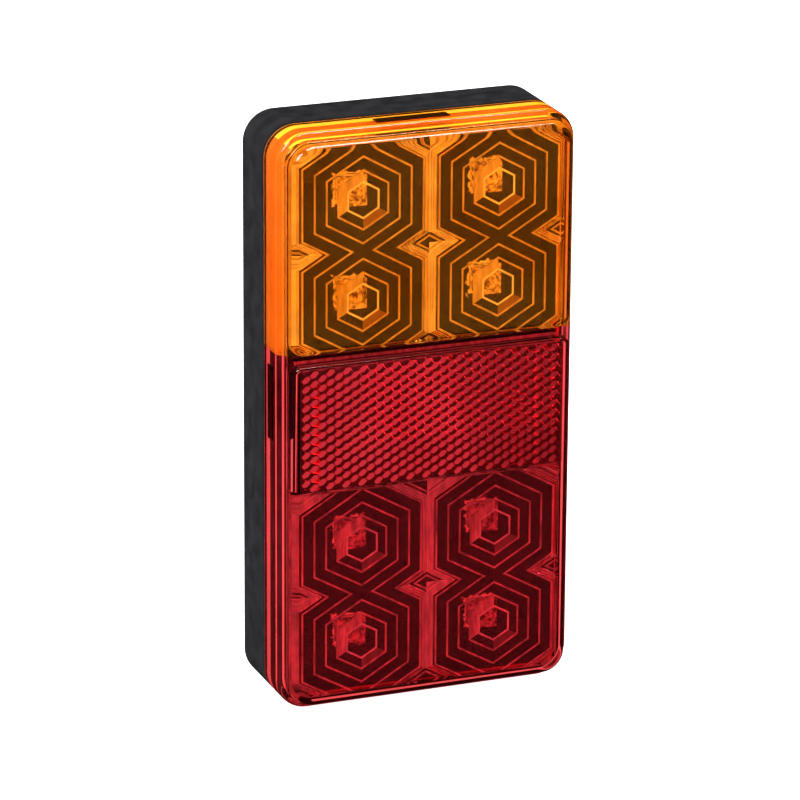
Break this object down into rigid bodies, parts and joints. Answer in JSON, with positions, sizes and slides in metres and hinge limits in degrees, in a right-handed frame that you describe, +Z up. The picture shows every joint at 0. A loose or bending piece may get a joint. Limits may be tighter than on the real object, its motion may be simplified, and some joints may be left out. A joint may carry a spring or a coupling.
{
  "type": "trailer tail light",
  "caption": "Upright rounded-rectangle LED tail light: amber upper lens, red lower lens, reflex reflector across the middle, black back shell with rear studs and cable outlet.",
  "frame": {"origin": "middle of the rear mounting face, halfway between the two studs", "axes": "+X to the right seen from the front, -Y the way the light shines, +Z up with the amber lens on top; the studs point along +Y"},
  "size_m": [0.0786, 0.0555, 0.15],
  "materials": {
    "shell_black": "satin moulded",
    "seal_rubber": "matte",
    "lens_amber": "clear tinted acrylic",
    "lens_red": "clear tinted acrylic",
    "reflex_red": "prismatic",
    "backing_black": "satin moulded",
    "board_black": "black solder mask",
    "screw_steel": "black oxide",
    "led_amber": "clear epoxy",
    "led_red": "clear epoxy",
    "pin_metal": "tinned",
    "chip_black": "moulded epoxy",
    "resistor_ceramic": "glazed ceramic",
    "terminal_brass": "tinned brass",
    "stud_zinc": "zinc plated",
    "grommet_rubber": "matte",
    "vent_membrane": "porous membrane"
  },
  "bodies": {
    "root": {"housing": "shell_black", "lens_seal": "seal_rubber", "amber_lens": "lens_amber", "red_lens": "lens_red", "reflex_reflector": "reflex_red", "reflex_backing_plate": "backing_black", "circuit_board": "board_black", "circuit_board_screws": "screw_steel", "amber_led_1": "led_amber", "amber_led_2": "led_amber", "amber_led_3": "led_amber", "amber_led_4": "led_amber", "red_led_1": "led_red", "red_led_2": "led_red", "red_led_3": "led_red", "red_led_4": "led_red", "led_pins": "pin_metal", "led_driver_chip": "chip_black", "chip_resistors": "resistor_ceramic", "protection_diodes": "chip_black", "wire_terminals": "terminal_brass", "upper_mounting_stud": "stud_zinc", "lower_mounting_stud": "stud_zinc", "stud_seal_washers": "seal_rubber", "stud_flat_washers": "stud_zinc", "stud_push_nuts": "stud_zinc", "cable_grommet": "grommet_rubber", "breather_vent": "vent_membrane"}
  },
  "joints": []
}
